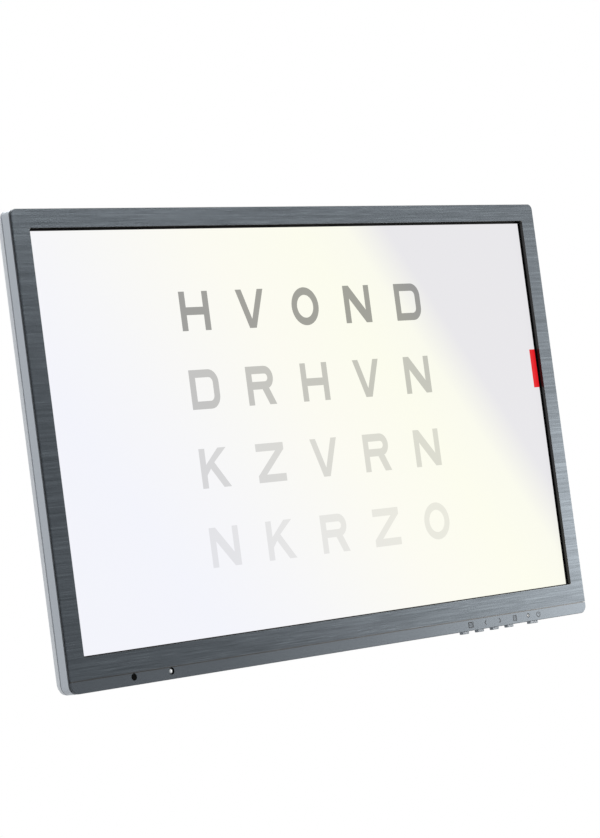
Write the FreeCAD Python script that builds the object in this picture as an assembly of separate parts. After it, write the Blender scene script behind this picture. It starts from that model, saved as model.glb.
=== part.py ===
import FreeCAD, Part
import math
import os
from FreeCAD import Vector

# A wall-hung sight-test chart display: a 24-inch flat panel in a slim housing, screwed to a bracket.
# X runs to the reader's right, Y runs away from the reader and Z runs up, in millimetres.
# The origin is the centre of the four mounting holes, on the rear mounting plane.
# Depths are counted from the front face of the bezel towards the rear; behind() turns one into a Y.

# Screen and housing outline
active_width = 531.4
active_height = 298.9
black_margin = 1.7
bezel_side = 15.2
bezel_top = 13.7
bezel_bottom = 24.7
body_depth = 50.0
corner_top = 4.5
corner_bottom = 6.5

# Front bezel and the smooth strip set into its lower edge
bezel_thickness = 3.0
bezel_rim = 0.9
bezel_rim_chamfer = 0.35
groove_depth = 1.2
opening_radius = 1.6
skirt_thickness = 1.2
skirt_reach = 1.4
chin_height = 9.0
chin_thickness = 1.2
chin_seam = 0.35

# Side band between the bezel and the rear cover
band_back = 10.4
band_wall = 2.0
band_step = 1.0
seam_width = 0.8
fit_gap = 0.15

# Rear cover
cover_wall = 2.4
rim_straight = 1.0
rim_radius = 8.0
rim_turn = 78.0
tongue_wall = 1.2
tongue_front = 9.4
tongue_overlap = 2.0
hump_width = 410.0
hump_height = 250.0
hump_slope = 38.0
hump_sink = 0.8
hump_base_radius = 45.0
hump_top_radius = 25.0
vent_width = 4.0
vent_length = 16.0
vent_pitch = 9.0
vent_count = 26
vent_height = 71.0
intake_length = 12.0
intake_count = 7
intake_offset = 175.0
intake_height = 19.0

# Recess under the hump where the sockets point down
bay_left = 128.0
bay_right = 124.0
bay_ceiling = -62.0
window_margin = 4.0
window_clearance = 1.4

# Screws that hold the rear cover
cover_screw_x = 153.0
cover_screw_z = 72.0
cover_post_side = 10.4
cover_bore_radius = 3.7
cover_bore_floor = 24.0

# Screen module, from the front
module_border = 11.6
module_sheet = 0.8
module_lip = 1.0
cell_border = 4.5
cell_thickness = 1.8
ledge_thickness = 1.0
module_frame_wall = 1.5
sheet_border = 3.0
film_thickness = 0.8
guide_thickness = 3.0
reflector_thickness = 0.3
tray_thickness = 0.8
light_bar_thickness = 1.2
led_height = 1.0
led_width = 6.0
led_count = 40
timing_board_width = 160.0
timing_board_height = 24.0
timing_board_drop = 28.0
timing_chip_width = 14.0
timing_chip_height = 1.0

# Steel frame behind the module, with the shield that covers the boards
frame_front = 14.4
frame_sheet = 1.0
frame_width = 430.0
frame_height = 208.0
frame_foot = 12.0
frame_window_width = 26.0
frame_window_height = 120.0
frame_window_x = 178.0
seat_side = 7.0
seat_height = 4.6
seat_inset = 6.0
shield_half_width = 138.0
shield_bottom = -57.8
shield_top = 84.0
shield_sheet = 0.8
shield_flange = 7.0
shield_vent_width = 4.0
shield_vent_pitch = 12.0
shield_vent_count = 5
shield_vent_height = 76.0

# Mounting plate: four tapped holes on a square, drawn plain at the clearance size of an M4 screw
mount_spacing = 100.0
mount_hole_radius = 2.1
mount_boss_width = 9.0
mount_boss_gap = 0.3
mount_plate_width = 124.0
mount_plate_height = 111.0
mount_plate_thickness = 1.6

# Circuit boards
board_thickness = 1.6
board_gap = 6.0
board_edge = 3.0
board_bottom = -55.5
main_board_top = 60.0
power_board_top = 78.0
heat_sink_x = 20.0
heat_sink_z = 40.0
heat_sink_step_x = 40.0
heat_sink_step_z = 16.0
heat_sink_length = 28.0
heat_sink_height = 20.0
heat_sink_plate = 2.0
heat_sink_fin = 1.2
heat_sink_reach = 8.0
heat_sink_pitch = 6.0
small_can_x = -120.0
small_can_z = 44.0
small_can_pitch = 12.0
small_can_radius = 4.0
small_can_height = 10.0
tall_can_x = 82.0
tall_can_z = 20.0
tall_can_radius = 5.0
tall_can_height = 14.0
large_can_x = 84.0
large_can_z = 44.0
large_can_radius = 9.0
large_can_length = 32.0
screw_head_width = 5.0
screw_head_height = 1.8
screw_shank_radius = 1.4
screw_hole_radius = 1.6

# Keys on the underside, placed from the housing's right edge
key_distances = {"source": 145.2, "left": 127.0, "right": 108.8, "menu": 90.7, "power": 61.2}
key_width = 8.6
power_key_width = 11.0
key_front = 5.6
key_depth = 3.6
key_drop = 2.2
key_travel = 0.6
key_gap = 0.2
key_rest_gap = 0.1
key_flange = 0.8
key_flange_height = 1.0
key_stem_height = 1.3
key_stem_width = 4.0
key_stem_depth = 2.6
key_corner = 0.7
key_chamfer = 0.4
plunger_side = 2.6
plunger_reach = 1.4
plunger_gap = 0.3
switch_side = 4.6
switch_height = 3.4
switch_gap = 0.8
key_board_margin = 11.5
key_board_front = 3.4
key_board_back = 13.4
key_board_thickness = 1.4
post_width = 5.0

# Round windows in the lower strip, placed from the housing's left edge, and the power light
window_height = 5.9
receiver_distance = 59.1
sensor_distance = 95.5
window_radius = 2.6
window_gap = 0.1
window_flange = 1.0
window_flange_thickness = 0.8
window_recess = 0.2
lens_radius = 2.0
lens_recess = 0.5
light_distance = 73.9
light_height = 5.0
light_radius = 0.9
light_collar = 0.6
light_pipe_back = 6.4
sensor_board_front = 6.4
sensor_board_thickness = 1.2
sensor_board_margin = 7.0
sensor_board_height = 11.0
receiver_side = 5.0
sensor_chip_side = 3.0
sensor_chip_thickness = 1.0

# Sockets on the two boards, mouths downwards
inlet_x = 92.0
inlet_width = 28.0
inlet_depth = 20.4
inlet_height = 26.0
inlet_wall = 1.8
inlet_cavity = 17.0
inlet_chamfer = 4.0
inlet_pin_width = 4.0
inlet_pin_thickness = 2.0
inlet_pin_spacing = 7.0
inlet_pin_rise = 4.0
inlet_pin_recess = 5.0
vga_x = -102.0
dvi_x = -60.0
hdmi_x = -24.0
vga_shell_width = 16.9
vga_shell_depth = 8.3
vga_body_width = 30.8
dvi_shell_width = 25.2
dvi_shell_depth = 9.6
dvi_body_width = 38.6
shell_slope = 10.0
shell_reach = 6.0
socket_depth = 12.5
socket_height = 11.0
contact_pitch = 2.0
contact_width = 0.8
screwlock_radius = 2.4
screwlock_length = 5.0
screwlock_inset = 2.9
hdmi_width = 15.2
hdmi_depth = 5.8
hdmi_length = 12.0
hdmi_wall = 0.45
hdmi_tongue = 1.1
hdmi_lift = 2.0

# Worked out from the sizes above
width = active_width + 2 * (black_margin + bezel_side)
height = active_height + 2 * black_margin + bezel_top + bezel_bottom
left_edge = -width / 2
right_edge = width / 2
bottom_edge = -height / 2
top_edge = height / 2
screen_z = bottom_edge + bezel_bottom + black_margin + active_height / 2
rear_rim = band_back + seam_width
rim_start = rear_rim + rim_straight
cover_flat = rim_start + rim_radius * math.sin(math.radians(rim_turn))
module_width = active_width + 2 * module_border
module_height = active_height + 2 * module_border
module_bottom = screen_z - module_height / 2
cell_front = bezel_thickness + module_sheet
ledge_front = cell_front + cell_thickness
film_front = ledge_front + ledge_thickness
guide_front = film_front + film_thickness
reflector_front = guide_front + guide_thickness
tray_front = reflector_front + reflector_thickness
tray_back = tray_front + tray_thickness
frame_back = frame_front + frame_sheet
board_front = frame_back + seat_height
board_back = board_front + board_thickness
timing_board_z = frame_height / 2 - timing_board_drop
mount_plate_back = body_depth - cover_wall
mount_plate_front = mount_plate_back - mount_plate_thickness
guide_bottom = screen_z - active_height / 2 - sheet_border
light_bar_top = guide_bottom - led_height
band_floor = bottom_edge + band_wall
key_flange_low = band_floor + key_rest_gap
key_stem_low = key_flange_low + key_flange_height
plunger_low = key_stem_low + key_stem_height
switch_low = plunger_low + switch_gap
key_board_low = switch_low + switch_height
key_mid_depth = key_front + key_depth / 2
key_board_left = right_edge - max(key_distances.values()) - key_board_margin
key_board_right = right_edge - min(key_distances.values()) + key_board_margin + power_key_width / 2
window_z = bottom_edge + window_height
receiver_x = left_edge + receiver_distance
sensor_x = left_edge + sensor_distance
sensor_board_left = receiver_x - sensor_board_margin
sensor_board_right = sensor_x + sensor_board_margin
light_x = right_edge - light_distance
light_z = bottom_edge + light_height


def behind(depth):
    """The Y of a plane that lies this far behind the bezel's front face."""
    return depth - body_depth


def outline(wide, high, y, top_radius, bottom_radius, x=0.0, z=0.0):
    """A closed rectangle with rounded corners in the plane Y = y, centred on x and z."""
    left, right = x - wide / 2, x + wide / 2
    low, up = z - high / 2, z + high / 2
    corners = [
        (left, low, 1, 1, bottom_radius, 180),
        (right, low, -1, 1, bottom_radius, 270),
        (right, up, -1, -1, top_radius, 0),
        (left, up, 1, -1, top_radius, 90),
    ]
    arcs = []
    for corner_x, corner_z, inward_x, inward_z, radius, start in corners:
        middle = (corner_x + inward_x * radius, corner_z + inward_z * radius)
        points = []
        for angle in (start, start + 45, start + 90):
            turn = math.radians(angle)
            points.append(Vector(middle[0] + radius * math.cos(turn), y,
                                 middle[1] + radius * math.sin(turn)))
        arcs.append(points)
    edges = []
    for index, points in enumerate(arcs):
        following = arcs[(index + 1) % len(arcs)]
        edges.append(Part.Arc(*points).toShape())
        edges.append(Part.LineSegment(points[2], following[0]).toShape())
    return Part.Wire(edges)


def slab(wide, high, front, back, radius, bottom_radius=None, x=0.0, z=0.0):
    """A plate with rounded corners, from one depth to another."""
    low_radius = radius if bottom_radius is None else bottom_radius
    wire = outline(wide, high, behind(front), radius, low_radius, x, z)
    return Part.Face(wire).extrude(Vector(0, back - front, 0))


def block(left, right, front, back, low, up):
    """A box between two X, two depths and two Z."""
    return Part.makeBox(right - left, back - front, up - low, Vector(left, behind(front), low))


def rod(x, z, radius, front, back):
    """A round bar along Y between two depths."""
    return Part.makeCylinder(radius, back - front, Vector(x, behind(front), z), Vector(0, 1, 0))


def screw(x, z, seat, tip):
    """A hexagon-headed screw driven from the rear, from the seat of its head to its tip."""
    head = hexagon(x, z, screw_head_width, seat, seat + screw_head_height)
    return head.fuse(rod(x, z, screw_shank_radius, tip, seat)).removeSplitter()


def square_bar(x, z, side, front, back):
    """A square bar along Y."""
    return block(x - side / 2, x + side / 2, front, back, z - side / 2, z + side / 2)


def hexagon(x, z, across, front, back):
    """A six-sided bar along Y, given by the width across its flats."""
    corner = across / math.sqrt(3)
    points = []
    for index in range(7):
        turn = math.radians(60 * index)
        points.append(Vector(x + corner * math.cos(turn), behind(front), z + corner * math.sin(turn)))
    return Part.Face(Part.makePolygon(points)).extrude(Vector(0, back - front, 0))


def ring(outside, inside):
    """The wall between two slabs."""
    return outside.cut(inside)


def joined(shapes):
    """Several overlapping solids as one."""
    return shapes[0].fuse(shapes[1:]).removeSplitter()


def cleared(shape, tools):
    """A solid with every tool cut from it."""
    return shape.cut(Part.makeCompound(tools))


def write(name, shape):
    """Writes one piece; a compound holds the like solids of one group."""
    solids = shape.Solids
    kept = solids[0] if len(solids) == 1 else Part.makeCompound(solids)
    kept.exportStep(os.path.join("parts", name + ".step"))


# Front of the housing


def screen_opening(front, back):
    """The window in the bezel."""
    return slab(active_width + 2 * black_margin, active_height + 2 * black_margin, front, back,
                opening_radius, z=screen_z)


def window_holes(radius_extra, front, back):
    """Cutters for the two round windows and the power light in the lower strip."""
    return [
        rod(receiver_x, window_z, window_radius + radius_extra, front, back),
        rod(sensor_x, window_z, window_radius + radius_extra, front, back),
        rod(light_x, light_z, light_radius + radius_extra + window_gap, front, back),
    ]


def front_rim_edges(shape, y):
    """The outer edges of a plate that lie in the plane Y = y."""
    found = []
    for edge in shape.Edges:
        box = edge.BoundBox
        flat = abs(box.YMin - y) < 0.001 and abs(box.YMax - y) < 0.001
        on_side = box.XMin < left_edge + corner_bottom or box.XMax > right_edge - corner_bottom
        on_end = box.ZMin < bottom_edge + 0.001 or box.ZMax > top_edge - 0.001
        if flat and (on_side or on_end):
            found.append(edge)
    return found


def make_front_bezel():
    """The brushed picture frame: a thin rim, a stepped-in plate and a skirt that enters the side band."""
    rim = slab(width, height, 0, bezel_rim, corner_top, corner_bottom)
    rim = rim.makeChamfer(bezel_rim_chamfer, front_rim_edges(rim, behind(0)))
    inner_top = corner_top - groove_depth
    inner_bottom = corner_bottom - groove_depth
    plate = slab(width - 2 * groove_depth, height - 2 * groove_depth, bezel_rim, bezel_thickness,
                 inner_top, inner_bottom)
    skirt = inner_runs(band_wall + fit_gap, skirt_thickness, bezel_rim, bezel_thickness + skirt_reach,
                       corner_bottom)
    body = joined([rim, plate] + skirt)
    rebate = block(left_edge - 1, right_edge + 1, -1, chin_thickness, bottom_edge - 1,
                   bottom_edge + chin_height)
    cuts = [rebate, screen_opening(-1, bezel_thickness + 1)] + window_holes(0, -1, bezel_thickness + 1)
    return cleared(body, cuts)


def make_chin_trim():
    """The smooth strip along the lower edge, seated in the bezel's rebate under a fine seam."""
    whole = slab(width, height, 0, chin_thickness, corner_top, corner_bottom)
    whole = whole.makeChamfer(bezel_rim_chamfer, front_rim_edges(whole, behind(0)))
    strip = block(left_edge - 1, right_edge + 1, -1, chin_thickness + 1, bottom_edge - 1,
                  bottom_edge + chin_height - chin_seam)
    return cleared(whole.common(strip), window_holes(0, -1, chin_thickness + 1))


def inner_runs(inset, thickness, front, back, corner_break):
    """Four straight walls just inside the housing, which stop short of its corners."""
    x, z = width / 2 - inset, height / 2 - inset
    runs = []
    for side in (-1, 1):
        edges = sorted((side * x, side * (x - thickness)))
        runs.append(block(edges[0], edges[1], front, back, -z + corner_break, z - corner_break))
        edges = sorted((side * z, side * (z - thickness)))
        runs.append(block(-x + corner_break, x - corner_break, front, back, edges[0], edges[1]))
    return runs


def key_places():
    """Each key's name, centre X and width."""
    for name, distance in key_distances.items():
        yield name, right_edge - distance, power_key_width if name == "power" else key_width


def make_side_band():
    """The bright band round the housing, with slots for the keys and posts for the two small boards."""
    band = ring(
        slab(width, height, bezel_thickness, band_back, corner_top, corner_bottom),
        slab(width - 2 * band_wall, height - 2 * band_wall, bezel_thickness - 1, band_back + 1,
             corner_top - band_wall, corner_bottom - band_wall))
    step = ring(
        slab(width - 2 * band_step, height - 2 * band_step, band_back - 1, rear_rim,
             corner_top - band_step, corner_bottom - band_step),
        slab(width - 2 * band_wall, height - 2 * band_wall, band_back - 2, rear_rim + 1,
             corner_top - band_wall, corner_bottom - band_wall))
    posts = []
    for left in (key_board_left, key_board_right - post_width):
        posts.append(block(left, left + post_width, key_front, band_back, band_floor - 1, key_board_low))
    board_back_face = sensor_board_front + sensor_board_thickness
    for left in (sensor_board_left, sensor_board_right - post_width):
        posts.append(block(left, left + post_width, board_back_face, tongue_front - fit_gap, band_floor - 1,
                           band_floor + sensor_board_height - 2))
    body = joined([band, step] + posts)
    slots = []
    for _name, x, wide in key_places():
        slots.append(block(x - wide / 2 - key_gap, x + wide / 2 + key_gap, key_front - key_gap,
                           key_front + key_depth + key_gap, bottom_edge - 1, band_floor + 1))
    return cleared(body, slots)


# Rear cover


def rim_profile(wall):
    """Insets and depths down the rounded rim, on the outer face or a wall's thickness inside it."""
    steps = 5 if wall == 0 else 2
    for index in range(steps + 1):
        turn = math.radians(rim_turn * index / steps)
        inset = rim_radius - (rim_radius - wall) * math.cos(turn)
        yield inset, rim_start + (rim_radius - wall) * math.sin(turn)


def hump_profile(wall):
    """Insets and depths up the hump's soft slope, on the outer face or a wall's thickness inside it."""
    base = cover_flat - hump_sink
    rise = body_depth - base
    shares = (0.0, 0.15, 0.35, 0.65, 0.85, 1.0) if wall == 0 else (0.0, 0.3, 0.7, 1.0)
    for share in shares:
        along = hump_slope
        up = rise * 6 * share * (1 - share)
        length = math.hypot(along, up)
        inset = hump_slope * share + wall * up / length
        depth = base + rise * (3 * share ** 2 - 2 * share ** 3) - wall * along / length
        yield share, inset, depth


def rim_solid(wall):
    """The low, full-width part of the cover: a straight start and a rounded rim."""
    sections = []
    for inset, depth in rim_profile(wall):
        top = max(corner_top + 0.6 * inset - wall, 1.0)
        bottom = max(corner_bottom + 0.6 * inset - wall, 1.0)
        sections.append(outline(width - 2 * inset, height - 2 * inset, behind(depth), top, bottom))
    loft = Part.makeLoft(sections, True, True)
    top = max(corner_top - 0.4 * wall, 1.0)
    bottom = max(corner_bottom - 0.4 * wall, 1.0)
    start = rear_rim if wall == 0 else tongue_front - 1
    straight = slab(width - 2 * wall, height - 2 * wall, start, rim_start, top, bottom)
    return straight.fuse(loft)


def hump_solid(wall):
    """The raised middle of the cover."""
    sections = []
    for share, inset, depth in hump_profile(wall):
        radius = hump_base_radius + (hump_top_radius - hump_base_radius) * share - wall
        sections.append(outline(hump_width - 2 * inset, hump_height - 2 * inset, behind(depth), radius,
                                radius))
    return Part.makeLoft(sections, True, True)


def bay_block(wall):
    """The space below the hump's middle that is cut away for plugs, grown by a wall on the inside."""
    return block(-bay_left - wall, bay_right + wall, cover_flat - 2 * cover_wall - wall, body_depth + 1,
                 -hump_height, bay_ceiling + wall)


def cover_tongue():
    """The thin wall that enters the side band, broken where the keys and their board are."""
    runs = inner_runs(band_wall + fit_gap, tongue_wall, tongue_front, rear_rim + tongue_overlap,
                      corner_bottom)
    room = block(key_board_left - tongue_wall, key_board_right + tongue_wall, tongue_front - 1, rear_rim,
                 bottom_edge, bottom_edge + bezel_bottom)
    return joined(runs).cut(room)


def vent_slots():
    """Cutters for the outlet slots high on the hump and the intake slots near the lower edge."""
    slots = []
    for index in range(vent_count):
        x = (index - (vent_count - 1) / 2) * vent_pitch
        slots.append(block(x - vent_width / 2, x + vent_width / 2, mount_plate_front, body_depth + 1,
                           vent_height - vent_length / 2, vent_height + vent_length / 2))
    for side in (-1, 1):
        for index in range(intake_count):
            x = side * intake_offset + (index - (intake_count - 1) / 2) * vent_pitch
            low = bottom_edge + intake_height
            slots.append(block(x - vent_width / 2, x + vent_width / 2, cover_flat - 2 * cover_wall,
                               body_depth + 1, low, low + intake_length))
    return slots


def cover_screw_places():
    """The four places where screws hold the cover."""
    for side in (-1, 1):
        for end in (-1, 1):
            yield side * cover_screw_x, end * cover_screw_z


def mount_places():
    """The corners of the mounting square."""
    for side in (-1, 1):
        for end in (-1, 1):
            yield side * mount_spacing / 2, end * mount_spacing / 2


def make_rear_cover():
    """The moulded back: a shell with a rounded rim, a hump, slots, screw posts and the socket recess."""
    outside = rim_solid(0).fuse(hump_solid(0).cut(bay_block(0).cut(rim_solid(0))))
    recess = bay_block(cover_wall).cut(rim_solid(cover_wall))
    cavity = rim_solid(cover_wall).fuse(hump_solid(cover_wall).cut(recess))
    shell = outside.cut(cavity)
    bosses = []
    bores = []
    for x, z in cover_screw_places():
        bosses.append(square_bar(x, z, cover_post_side, frame_back, body_depth - cover_wall / 2))
        bores.append(rod(x, z, cover_bore_radius, cover_bore_floor, body_depth + 1))
        bores.append(rod(x, z, screw_hole_radius, frame_back - 1, cover_bore_floor + 1))
    body = shell.fuse(bosses + [cover_tongue()])
    cuts = bores + vent_slots()
    for x, z in mount_places():
        cuts.append(hexagon(x, z, mount_boss_width + 2 * mount_boss_gap, mount_plate_front, body_depth + 1))
    socket_middle = board_back + socket_depth / 2
    reach = dvi_shell_depth / 2 + window_clearance
    cuts.append(block(vga_x - vga_body_width / 2 - window_margin, hdmi_x + hdmi_width / 2 + window_margin,
                      socket_middle - reach, socket_middle + reach, bay_ceiling - 1,
                      bay_ceiling + cover_wall + 1))
    cuts.append(block(inlet_x - inlet_width / 2 - fit_gap, inlet_x + inlet_width / 2 + fit_gap,
                      board_back - fit_gap, board_back + inlet_depth + fit_gap, bay_ceiling - 1,
                      bay_ceiling + cover_wall + 1))
    return cleared(body, cuts).removeSplitter()


# Screen module


def sheet(wide, high, front, back):
    """A square-cornered sheet of the module, centred on the screen."""
    return block(-wide / 2, wide / 2, front, back, screen_z - high / 2, screen_z + high / 2)


def make_panel_front_frame():
    """The folded steel frame that holds the cell: a face with the viewing window and four side walls."""
    outside = sheet(module_width, module_height, bezel_thickness, tray_back)
    inside = sheet(module_width - 2 * module_sheet, module_height - 2 * module_sheet, cell_front,
                   tray_back + 1)
    margin = 2 * (black_margin + module_lip)
    window = sheet(active_width + margin, active_height + margin, bezel_thickness - 1, cell_front + 1)
    return outside.cut(inside).cut(window)


def make_lcd_cell():
    """The glass cell with its polarisers, which shows the chart."""
    return sheet(active_width + 2 * cell_border, active_height + 2 * cell_border, cell_front, ledge_front)


def make_panel_inner_frame():
    """The moulded frame inside the module, with the ledge that the cell rests on."""
    outer = module_sheet + fit_gap
    inner = outer + module_frame_wall
    wall = ring(
        sheet(module_width - 2 * outer, module_height - 2 * outer, ledge_front, tray_front),
        sheet(module_width - 2 * inner, module_height - 2 * inner, ledge_front - 1, tray_front + 1))
    ledge = ring(
        sheet(module_width - 2 * outer, module_height - 2 * outer, ledge_front, film_front),
        sheet(active_width + 2 * module_lip, active_height + 2 * module_lip, ledge_front - 1,
              film_front + 1))
    return joined([wall, ledge])


def backlight_sheet(front, back):
    """A sheet of the backlight, as large as the light guide."""
    return sheet(active_width + 2 * sheet_border, active_height + 2 * sheet_border, front, back)


def make_panel_back_tray():
    """The steel back of the module, with the bent ledge that carries the light bar."""
    inset = module_sheet + fit_gap
    floor = sheet(module_width - 2 * inset, module_height - 2 * inset, tray_front, tray_back)
    ledge_top = light_bar_top - light_bar_thickness
    ledge = block(-active_width / 2, active_width / 2, film_front + fit_gap,
                  tray_front + tray_thickness / 2,
                  ledge_top - tray_thickness, ledge_top)
    return joined([floor, ledge])


def make_light_bar():
    """The strip board under the light guide."""
    return block(-active_width / 2, active_width / 2, guide_front, tray_front,
                 light_bar_top - light_bar_thickness,
                 light_bar_top)


def make_backlight_leds():
    """The row of lamps on the strip board."""
    pitch = (active_width - 2 * led_width) / (led_count - 1)
    lamps = []
    for index in range(led_count):
        x = (index - (led_count - 1) / 2) * pitch
        lamps.append(block(x - led_width / 2, x + led_width / 2, guide_front + 0.2, reflector_front - 0.2,
                           light_bar_top, guide_bottom))
    return Part.makeCompound(lamps)


def make_timing_board():
    """The module's own board on the back of the tray, with its two chips."""
    board = block(-timing_board_width / 2, timing_board_width / 2, tray_back,
                  tray_back + sensor_board_thickness,
                  timing_board_z - timing_board_height / 2, timing_board_z + timing_board_height / 2)
    parts = [board]
    for side in (-1, 1):
        x = side * timing_board_width / 4
        parts.append(block(x - timing_chip_width / 2, x + timing_chip_width / 2, tray_back + 0.5,
                           tray_back + sensor_board_thickness + timing_chip_height,
                           timing_board_z - timing_chip_width / 2, timing_board_z + timing_chip_width / 2))
    return joined(parts)


# Steel frame, shield and mounting plate


def board_rectangles():
    """Left, right, bottom and top of the two boards behind the frame."""
    inner = board_edge
    outer = shield_half_width - board_edge
    return {
        "main": (-outer, -inner, board_bottom, main_board_top),
        "power": (inner, outer, board_bottom, power_board_top),
    }


def board_seats():
    """The middles of the seats under the corners of the two boards."""
    for left, right, low, up in board_rectangles().values():
        for x in (left + seat_inset, right - seat_inset):
            for z in (low + seat_inset, up - seat_inset):
                yield x, z


def make_mounting_frame():
    """The folded steel frame: a plate on two side rails with feet, and raised seats for the boards."""
    plate = block(-frame_width / 2, frame_width / 2, frame_front, frame_back, -frame_height / 2,
                  frame_height / 2)
    parts = [plate]
    for side in (-1, 1):
        edge = side * frame_width / 2
        inner = edge - side * frame_sheet
        outer = edge + side * frame_foot
        parts.append(block(min(inner, edge), max(inner, edge), tray_back, frame_back - frame_sheet / 2,
                           -frame_height / 2 + 4, frame_height / 2 - 4))
        parts.append(block(min(inner, outer), max(inner, outer), tray_back, tray_back + frame_sheet,
                           -frame_height / 2 + 4, frame_height / 2 - 4))
    for x, z in board_seats():
        parts.append(square_bar(x, z, seat_side, frame_back - frame_sheet / 2, board_front))
    body = joined(parts)
    cuts = [square_bar(x, z, 2 * screw_hole_radius, frame_front - 1, frame_back + 1)
            for x, z in cover_screw_places()]
    for side in (-1, 1):
        middle = side * frame_window_x
        cuts.append(block(middle - frame_window_width / 2, middle + frame_window_width / 2, frame_front - 1,
                          frame_back + 1, -frame_window_height / 2, frame_window_height / 2))
    return cleared(body, cuts)


def socket_cutouts(low, up):
    """Cutters for the four sockets where they pass a wall."""
    vga_middle = board_back + socket_depth / 2
    wide = {vga_x: vga_shell_width, dvi_x: dvi_shell_width}
    deep = {vga_x: vga_shell_depth, dvi_x: dvi_shell_depth}
    cuts = []
    for x in wide:
        cuts.append(block(x - wide[x] / 2 - 0.6, x + wide[x] / 2 + 0.6, vga_middle - deep[x] / 2 - 0.6,
                          vga_middle + deep[x] / 2 + 0.6, low, up))
    cuts.append(block(hdmi_x - hdmi_width / 2 - 0.3, hdmi_x + hdmi_width / 2 + 0.3,
                      board_back + hdmi_lift - 0.3,
                      board_back + hdmi_lift + hdmi_depth + 0.3, low, up))
    cuts.append(block(inlet_x - inlet_width / 2 - fit_gap, inlet_x + inlet_width / 2 + fit_gap,
                      board_back - fit_gap, board_back + inlet_depth + fit_gap, low, up))
    return cuts


def make_shield_box():
    """The folded steel cover over the boards, vented at the rear and open for the sockets below."""
    high = shield_top - shield_bottom
    middle = (shield_top + shield_bottom) / 2
    inner = shield_half_width - shield_sheet
    outside = block(-shield_half_width, shield_half_width, frame_back, mount_plate_front, shield_bottom,
                    shield_top)
    inside = block(-inner, inner, frame_back - 1, mount_plate_front - shield_sheet,
                   shield_bottom + shield_sheet, shield_top - shield_sheet)
    flanges = []
    for side in (-1, 1):
        edges = sorted((side * inner, side * (shield_half_width + shield_flange)))
        flanges.append(block(edges[0], edges[1], frame_back, frame_back + shield_sheet,
                             middle - high / 2 + shield_flange, middle + high / 2 - shield_flange))
    body = joined([outside.cut(inside)] + flanges)
    cuts = socket_cutouts(shield_bottom - 1, shield_bottom + shield_sheet + 0.5)
    first = mount_plate_width / 2 + shield_vent_pitch
    for side in (-1, 1):
        for index in range(shield_vent_count):
            x = side * (first + index * shield_vent_pitch)
            cuts.append(block(x - shield_vent_width / 2, x + shield_vent_width / 2, mount_plate_front - 2,
                              mount_plate_front + 1, -shield_vent_height / 2, shield_vent_height / 2))
    cuts += [hexagon(x, z, mount_boss_width, mount_plate_front - 2, mount_plate_front + 1)
             for x, z in mount_places()]
    return cleared(body, cuts)


def make_mount_plate():
    """The thick plate on the shield, with four hexagonal bushes that end flush with the rear cover."""
    parts = [block(-mount_plate_width / 2, mount_plate_width / 2, mount_plate_front, mount_plate_back,
                   -mount_plate_height / 2, mount_plate_height / 2)]
    for x, z in mount_places():
        parts.append(hexagon(x, z, mount_boss_width, mount_plate_front + 0.5, body_depth))
    body = joined(parts)
    return cleared(body, [rod(x, z, mount_hole_radius, mount_plate_front - 1, body_depth + 1)
                          for x, z in mount_places()])


# Boards and what stands on them


def make_board(name):
    """One of the two large boards."""
    left, right, low, up = board_rectangles()[name]
    return block(left, right, board_front, board_back, low, up)


def make_power_transformer():
    """The power board's transformer: a ferrite core round a wound bobbin."""
    x, z, top = 52.0, 2.0, board_back + 20.0
    core = ring(block(x - 15, x + 15, board_back + 3, top, z - 12, z + 12),
                block(x - 10, x + 10, board_back + 6, top - 3, z - 13, z + 13))
    winding = block(x - 10, x + 10, board_back + 6, top - 3, z - 11, z + 11)
    bobbin = block(x - 16, x + 16, board_back, board_back + 3, z - 14, z + 14)
    return joined([core, winding, bobbin])


def make_heat_sinks():
    """Two finned plates that stand on the power board."""
    half, top = heat_sink_length / 2, board_back + heat_sink_height
    plate_half, fin_half = heat_sink_plate / 2, heat_sink_fin / 2
    sinks = []
    for index in range(2):
        x = heat_sink_x + index * heat_sink_step_x
        z = heat_sink_z + index * heat_sink_step_z
        parts = [block(x - plate_half, x + plate_half, board_back, top, z - half, z + half)]
        for fin in range(-2, 3):
            fin_z = z + fin * heat_sink_pitch
            parts.append(block(x - plate_half, x + plate_half + heat_sink_reach, board_back + fin_half,
                               top - fin_half, fin_z - fin_half, fin_z + fin_half))
        sinks.append(joined(parts))
    return Part.makeCompound(sinks)


def make_line_choke():
    """The mains filter behind the inlet: a square core with a coil on each of two legs."""
    x, z, low = 120.0, -6.0, board_back + 2.0
    core = ring(block(x - 9, x + 9, low, low + 18, z - 4, z + 4),
                block(x - 5, x + 5, low + 4, low + 14, z - 5, z + 5))
    foot = block(x - 10, x + 10, board_back, low, z - 7, z + 7)
    coils = []
    for depth in (low + 2, low + 16):
        coils.append(block(x - 7, x + 7, depth - 3.5, depth + 3.5, z - 5.5, z + 5.5))
    return joined([core, foot] + coils)


def make_board_capacitors():
    """The upright capacitors of both boards, and the large one that lies on the power board."""
    cans = []
    for index in range(2):
        step = index * small_can_pitch
        cans.append(rod(small_can_x + step, small_can_z, small_can_radius, board_back,
                        board_back + small_can_height))
        cans.append(rod(tall_can_x + step, tall_can_z, tall_can_radius, board_back,
                        board_back + tall_can_height))
    start = Vector(large_can_x, behind(board_back + large_can_radius), large_can_z)
    cans.append(Part.makeCylinder(large_can_radius, large_can_length, start, Vector(1, 0, 0)))
    return Part.makeCompound(cans)


def make_scaler_chip():
    """The picture processor on the main board."""
    x, z, side = -66.0, 8.0, 24.0
    chip = block(x - side / 2, x + side / 2, board_back, board_back + 2.2, z - side / 2, z + side / 2)
    top = behind(board_back + 2.2)
    rim = [e for e in chip.Edges if abs(e.BoundBox.YMax - top) < 0.01 and e.BoundBox.YLength < 0.01]
    return chip.makeChamfer(0.4, rim)


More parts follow.
